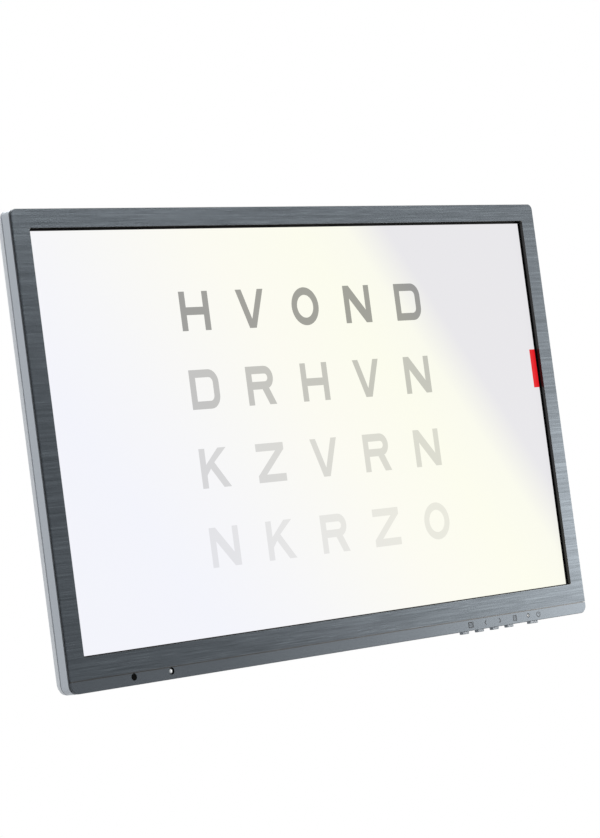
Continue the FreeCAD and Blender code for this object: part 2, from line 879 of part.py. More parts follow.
def tapered_shell(x, wide, deep, low, up):
    """The D-shaped nose of a video socket, wider on the side away from the board."""
    middle = board_back + socket_depth / 2
    lean = deep * math.tan(math.radians(shell_slope))
    points = [
        Vector(x - wide / 2 + lean, behind(middle - deep / 2), low),
        Vector(x + wide / 2 - lean, behind(middle - deep / 2), low),
        Vector(x + wide / 2, behind(middle + deep / 2), low),
        Vector(x - wide / 2, behind(middle + deep / 2), low),
    ]
    nose = Part.Face(Part.makePolygon(points + points[:1])).extrude(Vector(0, 0, up - low))
    upright = [e for e in nose.Edges if e.BoundBox.ZLength > 1]
    return nose.makeFillet(1.6, upright)


def make_video_socket(x, body_width, shell_width, shell_depth):
    """A screw-lock video socket: a block with a D-shaped nose and three rows of contacts in slots."""
    inside = shield_bottom + shield_sheet
    housing = block(x - body_width / 2, x + body_width / 2, board_back, board_back + socket_depth, inside,
                    inside + socket_height)
    nose = tapered_shell(x, shell_width, shell_depth, inside - shell_reach, inside + 1)
    half = shell_width / 2 - 2 * contact_pitch
    slots = []
    for row in (-1, 0, 1):
        depth = board_back + socket_depth / 2 + row * contact_pitch
        slots.append(block(x - half, x + half, depth - contact_width / 2, depth + contact_width / 2,
                           inside - shell_reach - 1, inside - shell_reach / 2))
    return cleared(joined([housing, nose]), slots)


def make_screwlocks():
    """The four hexagonal nuts beside the video sockets, outside the shield."""
    nuts = []
    middle = board_back + socket_depth / 2
    for x, body_width in ((vga_x, vga_body_width), (dvi_x, dvi_body_width)):
        for side in (-1, 1):
            nut_x = x + side * (body_width / 2 - screwlock_inset)
            corners = []
            for index in range(7):
                turn = math.radians(60 * index)
                corners.append(Vector(nut_x + screwlock_radius * math.cos(turn),
                                      behind(middle) + screwlock_radius * math.sin(turn),
                                      shield_bottom - screwlock_length))
            nuts.append(Part.Face(Part.makePolygon(corners)).extrude(Vector(0, 0, screwlock_length)))
    return Part.makeCompound(nuts)


def make_hdmi_socket():
    """The flat video socket: a folded shell with sloping lower corners, a back and a tongue."""
    face = shield_bottom - 0.6
    middle = board_back + hdmi_lift + hdmi_depth / 2

    def funnel(shrink, low, up):
        half_wide, half_deep = hdmi_width / 2 - shrink, hdmi_depth / 2 - shrink
        slope = 1.6
        corners = [(-half_wide, -half_deep), (half_wide, -half_deep), (half_wide, half_deep - slope),
                   (half_wide - slope, half_deep), (-half_wide + slope, half_deep),
                    (-half_wide, half_deep - slope)]
        points = [Vector(hdmi_x + a, behind(middle) + b, low) for a, b in corners]
        return Part.Face(Part.makePolygon(points + points[:1])).extrude(Vector(0, 0, up - low))

    shell = funnel(0, face, face + hdmi_length).cut(funnel(hdmi_wall, face - 1, face + hdmi_length - 1.5))
    tongue = block(hdmi_x - hdmi_width / 2 + 1.8, hdmi_x + hdmi_width / 2 - 1.8, middle - hdmi_tongue / 2,
                   middle + hdmi_tongue / 2, face + 1.2, face + hdmi_length - 1)
    foot = block(hdmi_x - hdmi_width / 2 + 2, hdmi_x + hdmi_width / 2 - 2, board_back,
                 board_back + hdmi_lift + hdmi_wall / 2, face + 3.5, face + hdmi_length - 1)
    return joined([shell, tongue, foot])


def inlet_outline(shrink, low, up):
    """The mains inlet's outline, with its two sloping corners away from the board."""
    half_wide = inlet_width / 2 - shrink
    near = board_back + shrink
    far = board_back + inlet_depth - shrink
    slope = inlet_chamfer - shrink * 0.4
    corners = [(-half_wide, near), (half_wide, near), (half_wide, far - slope), (half_wide - slope, far),
               (-half_wide + slope, far), (-half_wide, far - slope)]
    points = [Vector(inlet_x + a, behind(b), low) for a, b in corners]
    return Part.Face(Part.makePolygon(points + points[:1])).extrude(Vector(0, 0, up - low))


def inlet_pin_places():
    """The three blades of the inlet: two side by side, and the earth further from the board."""
    middle = board_back + inlet_depth / 2
    yield inlet_x - inlet_pin_spacing, middle - inlet_pin_rise / 2
    yield inlet_x + inlet_pin_spacing, middle - inlet_pin_rise / 2
    yield inlet_x, middle + inlet_pin_rise / 2


def make_mains_inlet():
    """The moulded mains inlet, its mouth flush with the recess's ceiling."""
    body = inlet_outline(0, bay_ceiling, bay_ceiling + inlet_height)
    return body.cut(inlet_outline(inlet_wall, bay_ceiling - 1, bay_ceiling + inlet_cavity))


def make_inlet_pins():
    """The three blades that stand in the inlet's cavity."""
    blades = []
    for x, depth in inlet_pin_places():
        blade = block(x - inlet_pin_thickness / 2, x + inlet_pin_thickness / 2, depth - inlet_pin_width / 2,
                      depth + inlet_pin_width / 2, bay_ceiling + inlet_pin_recess,
                      bay_ceiling + inlet_cavity)
        tip = [e for e in blade.Edges if abs(e.BoundBox.ZMax - (bay_ceiling + inlet_pin_recess)) < 0.01]
        blades.append(blade.makeChamfer(0.5, tip))
    return Part.makeCompound(blades)


# Keys, their board and the small parts behind the lower strip


def make_key(x, wide):
    """One key: a rounded cap through the underside, a flange that keeps it in and a stem to its switch."""
    cap = block(x - wide / 2, x + wide / 2, key_front, key_front + key_depth, bottom_edge - key_drop,
                key_flange_low + key_flange_height / 2)
    upright = [e for e in cap.Edges if e.BoundBox.ZLength > key_drop]
    cap = cap.makeChamfer(key_corner, upright)
    lower = [e for e in cap.Edges if e.BoundBox.ZMax < bottom_edge - key_drop + 0.01]
    cap = cap.makeChamfer(key_chamfer, lower)
    flange = block(x - wide / 2 - key_flange, x + wide / 2 + key_flange, key_front - key_flange,
                   key_front + key_depth + key_flange, key_flange_low, key_stem_low)
    stem = block(x - key_stem_width / 2, x + key_stem_width / 2, key_mid_depth - key_stem_depth / 2,
                 key_mid_depth + key_stem_depth / 2, key_stem_low - 0.5, plunger_low)
    return joined([cap, flange, stem])


def make_plunger(x):
    """The button of one switch, which moves with its key."""
    half = plunger_side / 2
    return block(x - half, x + half, key_mid_depth - half, key_mid_depth + half, plunger_low,
                 switch_low + plunger_reach)


def make_switch_housings():
    """The five switch bodies under the key board, each with a well for its button."""
    bodies = []
    for _name, x, _wide in key_places():
        half = switch_side / 2
        body = block(x - half, x + half, key_mid_depth - half, key_mid_depth + half, switch_low,
                     key_board_low)
        room = plunger_side / 2 + plunger_gap
        well = block(x - room, x + room, key_mid_depth - room, key_mid_depth + room, switch_low - 1,
                     switch_low + plunger_reach + key_travel + key_gap)
        bodies.append(body.cut(well))
    return Part.makeCompound(bodies)


def make_key_board():
    """The narrow board over the keys, which rests on the side band's two posts."""
    return block(key_board_left, key_board_right, key_board_front, key_board_back, key_board_low,
                 key_board_low + key_board_thickness)


def make_power_light():
    """The lamp under the key board that shines into the light pipe."""
    return block(light_x - 1.6, light_x + 1.6, light_pipe_back, light_pipe_back + 2.2, light_z - 1.4,
                 key_board_low)


def make_light_pipe():
    """The clear pin that brings the power light to the front."""
    collar = square_bar(light_x, light_z, 2 * (light_radius + light_collar), bezel_thickness,
                        bezel_thickness + window_flange_thickness)
    guide = square_bar(light_x, light_z, light_radius, bezel_thickness, light_pipe_back)
    return joined([rod(light_x, light_z, light_radius, 0, bezel_thickness), collar, guide])


def window_flange_plate(x):
    """The square flange that holds a round window against the back of the bezel, above its skirt."""
    half = window_radius + window_flange
    return block(x - half, x + half, bezel_thickness, bezel_thickness + window_flange_thickness,
                 band_floor + skirt_thickness + 2 * fit_gap, window_z + half)


def make_receiver_window():
    """The dark disc over the remote-control receiver, with a flange behind the bezel."""
    disc = rod(receiver_x, window_z, window_radius - window_gap, window_recess, bezel_thickness + 0.4)
    return joined([disc, window_flange_plate(receiver_x)])


def make_sensor_lens():
    """The clear domed lens of the room-light sensor, set in its hole with a dark gap round it."""
    dome_radius = lens_radius * 1.45
    ball = Part.makeSphere(dome_radius, Vector(sensor_x, behind(lens_recess + dome_radius), window_z))
    nose = ball.common(rod(sensor_x, window_z, lens_radius, 0,
                           bezel_thickness + window_flange_thickness / 2))
    guide = square_bar(sensor_x, window_z, lens_radius, bezel_thickness, sensor_board_front
                       - sensor_chip_thickness)
    return joined([nose, window_flange_plate(sensor_x), guide])


def make_sensor_board():
    """The small upright board behind the two round windows."""
    return block(sensor_board_left, sensor_board_right, sensor_board_front,
                 sensor_board_front + sensor_board_thickness, band_floor, band_floor + sensor_board_height)


def make_remote_receiver():
    """The receiver behind the dark window: a block with a raised face."""
    half = receiver_side / 2
    front = bezel_thickness + window_flange_thickness
    body = block(receiver_x - half, receiver_x + half, front + 1.2, sensor_board_front, window_z - half,
                 window_z + half)
    nose = square_bar(receiver_x, window_z, receiver_side * 0.7, front, front + 2)
    return joined([body, nose])


def make_light_sensor():
    """The light-sensing chip behind the clear lens."""
    half = sensor_chip_side / 2
    return block(sensor_x - half, sensor_x + half, sensor_board_front - sensor_chip_thickness,
                 sensor_board_front,
                 window_z - half, window_z + half)


# Fasteners


def make_cover_screws():
    """The four screws deep in the cover's bosses."""
    return Part.makeCompound([screw(x, z, cover_bore_floor, frame_front) for x, z in cover_screw_places()])


def main():
    os.makedirs("parts", exist_ok=True)
    pieces = {
        "front_bezel": make_front_bezel(),
        "chin_trim": make_chin_trim(),
        "side_band": make_side_band(),
        "rear_cover": make_rear_cover(),
        "panel_front_frame": make_panel_front_frame(),
        "lcd_cell": make_lcd_cell(),
        "panel_inner_frame": make_panel_inner_frame(),
        "film_stack": backlight_sheet(film_front, guide_front),
        "light_guide": backlight_sheet(guide_front, reflector_front),
        "reflector_sheet": backlight_sheet(reflector_front, tray_front),
        "panel_back_tray": make_panel_back_tray(),
        "light_bar": make_light_bar(),
        "backlight_leds": make_backlight_leds(),
        "timing_board": make_timing_board(),
        "mounting_frame": make_mounting_frame(),
        "shield_box": make_shield_box(),
        "mount_plate": make_mount_plate(),
        "main_board": make_board("main"),
        "scaler_chip": make_scaler_chip(),
        "board_capacitors": make_board_capacitors(),
        "vga_socket": make_video_socket(vga_x, vga_body_width, vga_shell_width, vga_shell_depth),
        "dvi_socket": make_video_socket(dvi_x, dvi_body_width, dvi_shell_width, dvi_shell_depth),
        "socket_screwlocks": make_screwlocks(),
        "hdmi_socket": make_hdmi_socket(),
        "power_board": make_board("power"),
        "mains_inlet": make_mains_inlet(),
        "inlet_pins": make_inlet_pins(),
        "power_transformer": make_power_transformer(),
        "heat_sinks": make_heat_sinks(),
        "line_choke": make_line_choke(),
        "key_board": make_key_board(),
        "key_switches": make_switch_housings(),
        "power_light": make_power_light(),
        "light_pipe": make_light_pipe(),
        "receiver_window": make_receiver_window(),
        "remote_receiver": make_remote_receiver(),
        "sensor_lens": make_sensor_lens(),
        "light_sensor": make_light_sensor(),
        "sensor_board": make_sensor_board(),
        "cover_screws": make_cover_screws(),
    }
    for name, x, wide in key_places():
        pieces["key_" + name] = make_key(x, wide)
        pieces["plunger_" + name] = make_plunger(x)
    for name, shape in pieces.items():
        write(name, shape)


main()
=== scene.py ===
import math

import bpy
from mathutils import Matrix, Vector


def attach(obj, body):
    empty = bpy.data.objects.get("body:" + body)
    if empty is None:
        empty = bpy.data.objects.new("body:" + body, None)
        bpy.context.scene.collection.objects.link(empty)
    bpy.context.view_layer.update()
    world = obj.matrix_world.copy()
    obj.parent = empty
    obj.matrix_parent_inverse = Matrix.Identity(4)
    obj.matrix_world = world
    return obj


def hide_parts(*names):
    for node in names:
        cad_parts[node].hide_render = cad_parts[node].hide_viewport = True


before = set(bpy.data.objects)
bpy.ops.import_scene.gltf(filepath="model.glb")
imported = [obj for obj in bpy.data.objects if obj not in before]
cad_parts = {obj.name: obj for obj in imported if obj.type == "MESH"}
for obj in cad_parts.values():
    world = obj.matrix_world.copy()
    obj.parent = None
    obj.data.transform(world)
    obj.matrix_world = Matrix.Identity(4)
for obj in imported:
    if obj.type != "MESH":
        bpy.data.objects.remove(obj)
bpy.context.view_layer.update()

# A wall-hung sight-test display. X runs to the reader's right, Y away from the reader and Z up, in metres.

# The lit part of the glass, and where the rows of test letters stand on it
SCREEN_WIDE = 0.5314
SCREEN_HIGH = 0.2989
SCREEN_MIDDLE = 0.0055
SCREEN_FOOT = 0.001  # how much further the lit part reaches at its foot
GLASS_FRONT = -0.0462
OPENING_MARGIN = 0.0017
LETTER_SIZE = 0.0293
LETTER_THICKNESS = 0.00008
LETTER_LEFT = -0.1293
LETTER_PITCH = 0.05835
ROW_TOP = 0.1084
ROW_PITCH = 0.0582
MARK_LEFT = 0.2592
MARK_LOW = 0.0185
MARK_HIGH = 0.0500
ROWS = (("HVOND", 0.635), ("DRHVN", 0.785), ("KZVRN", 0.87), ("NKRZO", 0.925))

# The housing's front
BEZEL_FRONT = -0.05
BEZEL_RIM = 0.0009
# The chin seam: its level, how far the painted shadow line reaches each side of it on the front faces, and
# how far and how deep inside it the faces are painted dark as shade
SEAM_LEVEL = -0.1615
SEAM_SHADOW_REACH = 0.0004
SEAM_WALL = 0.0006
SEAM_SKIN = 0.00006
REAR_RIM = 0.0112
SENSOR_PLACE = (-0.1871, -0.16445)
DOME_RADIUS = 0.002
ICON_LEVEL = -0.16575
ICON_PLACES = {"source": 0.1374, "left": 0.1556, "right": 0.1738, "menu": 0.1919, "lamp": 0.2087,
               "power": 0.2214}
ICON_HALF = 0.0023
ICON_STROKE = 0.0007
ICON_THICKNESS = 0.00003
ARROW_REACH = 0.0021
ARROW_HALF = 0.0022
SMALL_ARROW = ((-0.0010, -0.0009), (0.0008, 0), (-0.0010, 0.0009))
MENU_STROKE = 0.00056
RULE_LEVELS = (-0.0009, 0.0, 0.0009)
RULE_REACH = 0.001725
RULE_HALF = 0.00018
LAMP_RING = (0.0018, 0.0013)
LAMP_LIFT = 0.0004
POWER_RING = (0.0024, 0.0018)
POWER_BAR_HALF = 0.00026
POWER_BAR_LOW = 0.0003
POWER_BAR_HIGH = 0.0026

# How far a mask on a face reaches past it, and the gloss of what shines by itself
CLEAR = 0.0001
LIT_GLOSS = 0.04
ACRYLIC_IOR = 1.49

# The screen's glow changes along this slope, from cool white at the left through ivory to pale grey at the
# right: places in metres from the middle, and colours as they are seen
GLOW_SLOPE = (0.8, 0.6)
GLOW_REACH = 0.30
GLOW = (
    (-0.190, (242, 243, 250)),
    (-0.115, (245, 245, 247)),
    (0.005, (250, 249, 240)),
    (0.090, (250, 250, 236)),
    (0.135, (248, 248, 236)),
    (0.172, (230, 229, 232)),
)


def paint(red, green, blue, share=1.0):
    """A colour given as it is seen, from 0 to 255, as the shader's linear one."""
    linear = []
    for channel in (red, green, blue):
        seen = channel * share / 255
        linear.append(seen / 12.92 if seen <= 0.04045 else ((seen + 0.055) / 1.055) ** 2.4)
    return (*linear, 1.0)


def grey(level):
    return paint(level, level, level)


class Signal:
    """A value in a material's nodes; arithmetic on it adds Math nodes."""

    def __init__(self, finish, socket):
        self.finish = finish
        self.socket = socket

    def maths(self, operation, *others):
        return self.finish.node("Math", {"operation": operation}, dict(enumerate((self, *others))))

    def __add__(self, other):
        return self.maths("ADD", other)

    __radd__ = __add__

    def __mul__(self, other):
        return self.maths("MULTIPLY", other)

    __rmul__ = __mul__

    def __sub__(self, other):
        return self.maths("SUBTRACT", other)

    def __rsub__(self, other):
        return self.finish.node("Math", {"operation": "SUBTRACT"}, {0: other, 1: self})

    def __abs__(self):
        return self.maths("ABSOLUTE")

    def above(self, level):
        return self.maths("GREATER_THAN", level)

    def below(self, level):
        return self.maths("LESS_THAN", level)


class Finish:
    """A material: its nodes, and the surface shader that they feed."""

    def __init__(self, name):
        self.material = bpy.data.materials.new(name)
        self.material.use_nodes = True
        self.tree = self.material.node_tree
        self.surface = self.tree.nodes["Principled BSDF"]

    def node(self, kind, settings=None, values=None, output=0):
        """One node: its settings are set first, then the values or links of its sockets."""
        made = self.tree.nodes.new("ShaderNode" + kind)
        for name, value in (settings or {}).items():
            if name == "stops":
                ramp = made.color_ramp
                while len(ramp.elements) < len(value):
                    ramp.elements.new(0.5)
                for element, (place, colour) in zip(ramp.elements, value):
                    element.position = place
                for element, (place, colour) in zip(ramp.elements, value):
                    element.color = colour
            else:
                setattr(made, name, value)
        for name, value in (values or {}).items():
            self.feed(made.inputs[name], value)
        return Signal(self, made.outputs[output])

    def feed(self, socket, value):
        if isinstance(value, Signal):
            self.tree.links.new(value.socket, socket)
        else:
            socket.default_value = value

    def wear(self, **sockets):
        """Sets or links the surface shader's sockets, named with underscores."""
        for name, value in sockets.items():
            self.feed(self.surface.inputs[name.replace("_", " ")], value)
        return self

    def place(self, stretch=(1, 1, 1)):
        """The object's own coordinates, stretched."""
        own = self.node("TexCoord", output=3)
        return self.node("Mapping", {}, {"Vector": own, "Scale": stretch})

    def axis(self, index):
        """One of the object's own coordinates, in metres."""
        return self.node("SeparateXYZ", {}, {0: self.node("TexCoord", output=3)}, index)

    def noise(self, scale, detail=3.0, roughness=0.5, stretch=(1, 1, 1)):
        return self.node("TexNoise", {}, {"Vector": self.place(stretch), "Scale": scale, "Detail": detail,
                                          "Roughness": roughness})

    def between(self, factor, first, second):
        """A colour between two others."""
        return self.node("Mix", {"data_type": "RGBA"}, {0: factor, 6: first, 7: second}, 2)

    def ramp(self, value, stops):
        return self.node("ValToRGB", {"stops": stops}, {0: value})

    def relief(self, height, distance, strength=1.0):
        return self.node("Bump", {}, {"Height": height, "Distance": distance, "Strength": strength})


def inside_opening(finish):
    """1 on what lies within the bezel's opening, and 0 outside it."""
    across = abs(finish.axis(0)).below(SCREEN_WIDE / 2 + OPENING_MARGIN + CLEAR)
    up = abs(finish.axis(2) - SCREEN_MIDDLE).below(SCREEN_HIGH / 2 + OPENING_MARGIN + CLEAR)
    return across * up


def chin_seam_shade(finish):
    """1 within the fine seam between the brushed front and the strip below it, where the faces are painted
    dark as shade, and on a painted shadow line along its edges on the front faces.
    """
    off = abs(finish.axis(2) - SEAM_LEVEL)
    deep = finish.axis(1).above(BEZEL_FRONT + SEAM_SKIN)
    return (deep * off.below(SEAM_WALL)).maths("MAXIMUM", off.below(SEAM_SHADOW_REACH))


def glow(finish, share=1.0):
    """The colour of the lit screen at each place, times a share of it for print."""
    along = finish.axis(0) * GLOW_SLOPE[0] + (finish.axis(2) - SCREEN_MIDDLE) * GLOW_SLOPE[1]
    stops = [((place + GLOW_REACH) / (2 * GLOW_REACH), paint(*colour, share)) for place, colour in GLOW]
    return finish.ramp((along + GLOW_REACH) * (0.5 / GLOW_REACH), stops)


def brushed_metal_coat():
    """Dark brushed front: hairlines along the width, black inside the opening, painted shade behind the rim
    where the groove's shadow falls, and painted shade in and along the chin seam.
    """
    finish = Finish("brushed_front")
    hairs = finish.noise(1.0, 2.0, 0.6, (34, 700, 2300))
    streaks = finish.noise(1.0, 3.0, 0.55, (12, 90, 760))
    clouds = finish.noise(7.0, 2.0)
    tone = hairs * 0.5 + streaks * 0.4 + clouds * 0.1
    brushed = finish.ramp(tone, [(0.36, paint(52, 57, 61)), (0.5, paint(63, 68, 73)),
                                 (0.64, paint(76, 82, 87))])
    # Painted shade: faces behind the rim, in the groove round the front, are coloured near-black as its
    # shadow; the chin seam adds a painted shadow line
    black = finish.axis(1).above(BEZEL_FRONT + BEZEL_RIM + CLEAR)
    black = black.maths("MAXIMUM", inside_opening(finish)).maths("MAXIMUM", chin_seam_shade(finish))
    colour = finish.between(black, brushed, grey(17))
    bright = 1 - black
    finish.wear(Base_Color=colour, Metallic=bright, Roughness=0.24 + hairs * 0.05,
                Normal=finish.relief(hairs * bright, 0.00001))
    return finish


def satin_trim():
    """Smooth satin strip under the keys' symbols."""
    finish = Finish("satin_trim")
    grain = finish.noise(3200.0, 2.0)
    clouds = finish.noise(9.0, 2.0)
    colour = finish.between(clouds, paint(66, 71, 76), paint(74, 79, 84))
    # Painted shade: the chin seam, and a thin line along it on the front face, are coloured near-black
    seam = chin_seam_shade(finish)
    finish.wear(Base_Color=finish.between(seam, colour, grey(17)), Metallic=1 - seam,
                Roughness=0.24 + grain * 0.05, Normal=finish.relief(grain, 0.000004))
    return finish


def moulded(name, light, dark, roughness, grain_scale, depth, metallic=0.0):
    """Moulded plastic with a fine spark-eroded grain and slow changes of tone."""
    finish = Finish(name)
    grain = finish.noise(grain_scale, 3.0, 0.6)
    clouds = finish.noise(11.0, 2.0)
    colour = finish.between(clouds * 0.7 + grain * 0.3, paint(*dark), paint(*light))
    finish.wear(Base_Color=colour, Metallic=metallic, Roughness=roughness - 0.05 + grain * 0.1,
                Normal=finish.relief(grain, depth))
    return finish


def rear_shell():
    """The back's pale plastic; the tongue inside the seam is painted dark as the shade in the seam's gap."""
    finish = Finish("rear_shell")
    grain = finish.noise(1500.0, 3.0, 0.6)
    clouds = finish.noise(11.0, 2.0)
    pale = finish.between(clouds * 0.7 + grain * 0.3, paint(188, 193, 199), paint(200, 205, 210))
    # Painted shade: the tongue, seen only through the seam, is coloured near-black
    tongue = finish.axis(1).below(BEZEL_FRONT + REAR_RIM - CLEAR)
    finish.wear(Base_Color=finish.between(tongue, pale, grey(14)), Roughness=0.42 + grain * 0.1,
                Normal=finish.relief(grain, 0.00003))
    return finish


def dark_window():
    """The receiver's window, black to the eye and clear to the remote control."""
    finish = Finish("dark_window")
    waves = finish.noise(500.0, 2.0)
    return finish.wear(Base_Color=finish.between(waves, grey(2), grey(4)), Roughness=0.3 + waves * 0.05,
                       Normal=finish.relief(waves, 0.000002), Specular_IOR_Level=0.02)


def milky_dome():
    """The light sensor's dome: milky in the middle and black round its foot."""
    finish = Finish("milky_dome")
    across = finish.axis(0) - SENSOR_PLACE[0]
    up = finish.axis(2) - SENSOR_PLACE[1]
    off = (across * across + up * up).maths("SQRT")
    edge = finish.ramp(off * (1 / DOME_RADIUS), [(0.6, paint(206, 210, 212)), (0.84, paint(96, 100, 104)),
                                                 (0.98, grey(18))])
    finish.wear(Base_Color=edge, Roughness=0.22 + finish.noise(600.0, 2.0) * 0.06)
    return finish


def lit_glass():
    """The screen: its lit picture area glows, and its margin stays black."""
    finish = Finish("lit_glass")
    across = abs(finish.axis(0)).below(SCREEN_WIDE / 2)
    level = finish.axis(2) - SCREEN_MIDDLE
    up = level.below(SCREEN_HIGH / 2) * level.above(-SCREEN_HIGH / 2 - SCREEN_FOOT)
    front = finish.axis(1).below(GLASS_FRONT + 2 * CLEAR)
    shine = finish.between(across * up * front, grey(0), glow(finish))
    haze = finish.noise(5200.0, 1.0)
    return finish.wear(Base_Color=grey(6), Roughness=0.42 + haze * 0.06, Emission_Color=shine,
                       Emission_Strength=1.0, Specular_IOR_Level=LIT_GLOSS)


def chart_ink(name, share):
    """A shade on the lit screen, darker than it by a share."""
    finish = Finish(name)
    return finish.wear(Base_Color=grey(6), Roughness=0.45, Emission_Color=glow(finish, share),
                       Emission_Strength=1.0, Specular_IOR_Level=LIT_GLOSS)


def plain_light(name, colour, spread=0.06):
    """A small glowing field with a little unevenness."""
    finish = Finish(name)
    soft = finish.noise(300.0, 2.0)
    shine = finish.between(soft, paint(*colour), paint(*colour, 1 - spread))
    return finish.wear(Base_Color=grey(8), Roughness=0.4, Emission_Color=shine, Emission_Strength=1.0,
                       Specular_IOR_Level=LIT_GLOSS)


def clear_plastic(name, tint, roughness):
    finish = Finish(name)
    waves = finish.noise(400.0, 2.0)
    return finish.wear(Base_Color=paint(*tint), Roughness=roughness, IOR=ACRYLIC_IOR,
                       Normal=finish.relief(waves, 0.00001), Transmission_Weight=0.85)


def plated(name, light, dark, roughness, stretch=(60, 60, 60)):
    """Rolled or plated metal with faint spangle and rolling marks."""
    finish = Finish(name)
    spangle = finish.node("TexVoronoi", {"feature": "F1"}, {"Vector": finish.place(stretch), "Scale": 3.0}, 1)
    marks = finish.noise(1.0, 3.0, 0.6, (40, 900, 900))
    tone = finish.node("SeparateColor", {}, {0: spangle}) * 0.4 + marks * 0.6
    finish.wear(Base_Color=finish.between(tone, paint(*dark), paint(*light)), Metallic=0.95,
                Roughness=roughness + marks * 0.12, Normal=finish.relief(marks, 0.00002))
    return finish


def circuit_board(name, mask, copper):
    """A solder mask over copper tracks that run square to each other."""
    finish = Finish(name)
    across, up = (finish.node("TexWave", {"bands_direction": direction},
                              {"Vector": finish.place(), "Scale": scale, "Distortion": 3.0}, 1)
                  for direction, scale in (("X", 70.0), ("Z", 55.0)))
    tracks = across.above(0.8).maths("MAXIMUM", up.above(0.84))
    grain = finish.noise(900.0, 2.0)
    colour = finish.between(tracks * 0.5 + grain * 0.15, paint(*mask), paint(*copper))
    finish.wear(Base_Color=colour, Roughness=0.34 + grain * 0.15, Normal=finish.relief(tracks, 0.00004))
    return finish


def wound_copper():
    """Enamelled wire, turn beside turn, with painted shade and sheen across each turn."""
    finish = Finish("wound_copper")
    turns = finish.node("TexWave", {"bands_direction": "Y"}, {"Vector": finish.place(), "Scale": 260.0}, 1)
    # Painted shade and sheen: the copper colour runs from dark to bright across each turn, in step with its
    # bump
    finish.wear(Base_Color=finish.between(turns, paint(96, 50, 24), paint(196, 118, 62)), Metallic=0.7,
                Roughness=0.28 + turns * 0.1, Normal=finish.relief(turns, 0.0003))
    return finish


FINISHES = {
    "brushed_bezel": (brushed_metal_coat(), ("front_bezel",)),
    "smooth_trim": (satin_trim(), ("chin_trim",)),
    "silver_band": (moulded("silver_band", (172, 178, 185), (160, 167, 174), 0.36, 2600.0, 0.00001, 0.5),
                    ("side_band",)),
    "rear_plastic": (rear_shell(), ("rear_cover",)),
    "key_plastic": (moulded("key_caps", (122, 129, 136), (104, 111, 118), 0.38, 2600.0, 0.00001, 0.3),
                    ("key_source", "key_left", "key_right", "key_menu", "key_power")),
    "screen_glass": (lit_glass(), ("lcd_cell",)),
    "dark_window": (dark_window(), ("receiver_window",)),
    "clear_acrylic": (clear_plastic("clear_acrylic", (240, 243, 245), 0.08),
                      ("light_guide", "light_pipe")),
    "film_white": (moulded("diffuser_film", (246, 247, 248), (236, 238, 240), 0.45, 2200.0, 0.000005),
                   ("film_stack", "reflector_sheet")),
    "white_plastic": (moulded("white_frame", (238, 238, 234), (224, 225, 222), 0.5, 1800.0, 0.00002),
                      ("panel_inner_frame",)),
    "module_steel": (plated("module_steel", (178, 181, 184), (146, 150, 154), 0.3),
                     ("panel_front_frame", "panel_back_tray")),
    "zinc_steel": (plated("zinc_steel", (186, 189, 190), (140, 145, 150), 0.34, (90, 90, 90)),
                   ("mounting_frame", "shield_box", "mount_plate", "hdmi_socket")),
    "screw_steel": (plated("screw_steel", (196, 198, 200), (150, 153, 158), 0.24),
                    ("socket_screwlocks", "inlet_pins", "cover_screws")),
    "sink_aluminium": (plated("drawn_aluminium", (206, 208, 210), (170, 173, 176), 0.28), ("heat_sinks",)),
    "board_green": (circuit_board("board_green", (18, 74, 46), (46, 122, 74)),
                    ("timing_board", "main_board", "key_board", "sensor_board")),
    "board_brown": (circuit_board("board_brown", (150, 112, 66), (186, 142, 88)), ("power_board",)),
    "board_white": (moulded("board_white", (240, 240, 236), (228, 229, 226), 0.4, 1400.0, 0.00001),
                    ("light_bar",)),
    "component_black": (moulded("component_black", (34, 34, 37), (20, 20, 22), 0.45, 1700.0, 0.00002),
                        ("scaler_chip", "board_capacitors", "mains_inlet", "key_switches", "remote_receiver",
                         "light_sensor", "plunger_source", "plunger_left", "plunger_right", "plunger_menu",
                         "plunger_power")),
    "ferrite_grey": (moulded("ferrite_grey", (70, 70, 74), (48, 48, 52), 0.6, 1200.0, 0.00004),
                     ("power_transformer",)),
    "copper_winding": (wound_copper(), ("line_choke",)),
    "led_yellow": (moulded("phosphor_lamp", (244, 214, 92), (232, 196, 66), 0.3, 1500.0, 0.00001),
                   ("backlight_leds", "power_light")),
    "vga_blue": (moulded("socket_blue", (40, 76, 156), (26, 56, 128), 0.4, 1500.0, 0.00001), ("vga_socket",)),
    "dvi_white": (moulded("socket_white", (236, 236, 230), (222, 222, 216), 0.4, 1500.0, 0.00001),
                  ("dvi_socket",)),
}

for finish, nodes in FINISHES.values():
    for node in nodes:
        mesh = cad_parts[node].data
        mesh.materials.clear()
        mesh.materials.append(finish.material)


# A face whose direction is this near to an axis is a flat wall; a small one that looks sideways may be part
# of a round hole's wall
FLAT_ENOUGH = 0.9999
WALL_AREA = 0.0015


def pick(piece):
    """Makes one object the only one that operators act on."""
    bpy.ops.object.select_all(action="DESELECT")
    piece.select_set(True)
    bpy.context.view_layer.objects.active = piece


def fit(piece, material, body="body"):
    """Gives a finished piece its material and the body that it moves with."""
    piece.data.materials.clear()
    piece.data.materials.append(material)
    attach(piece, body)
    return piece


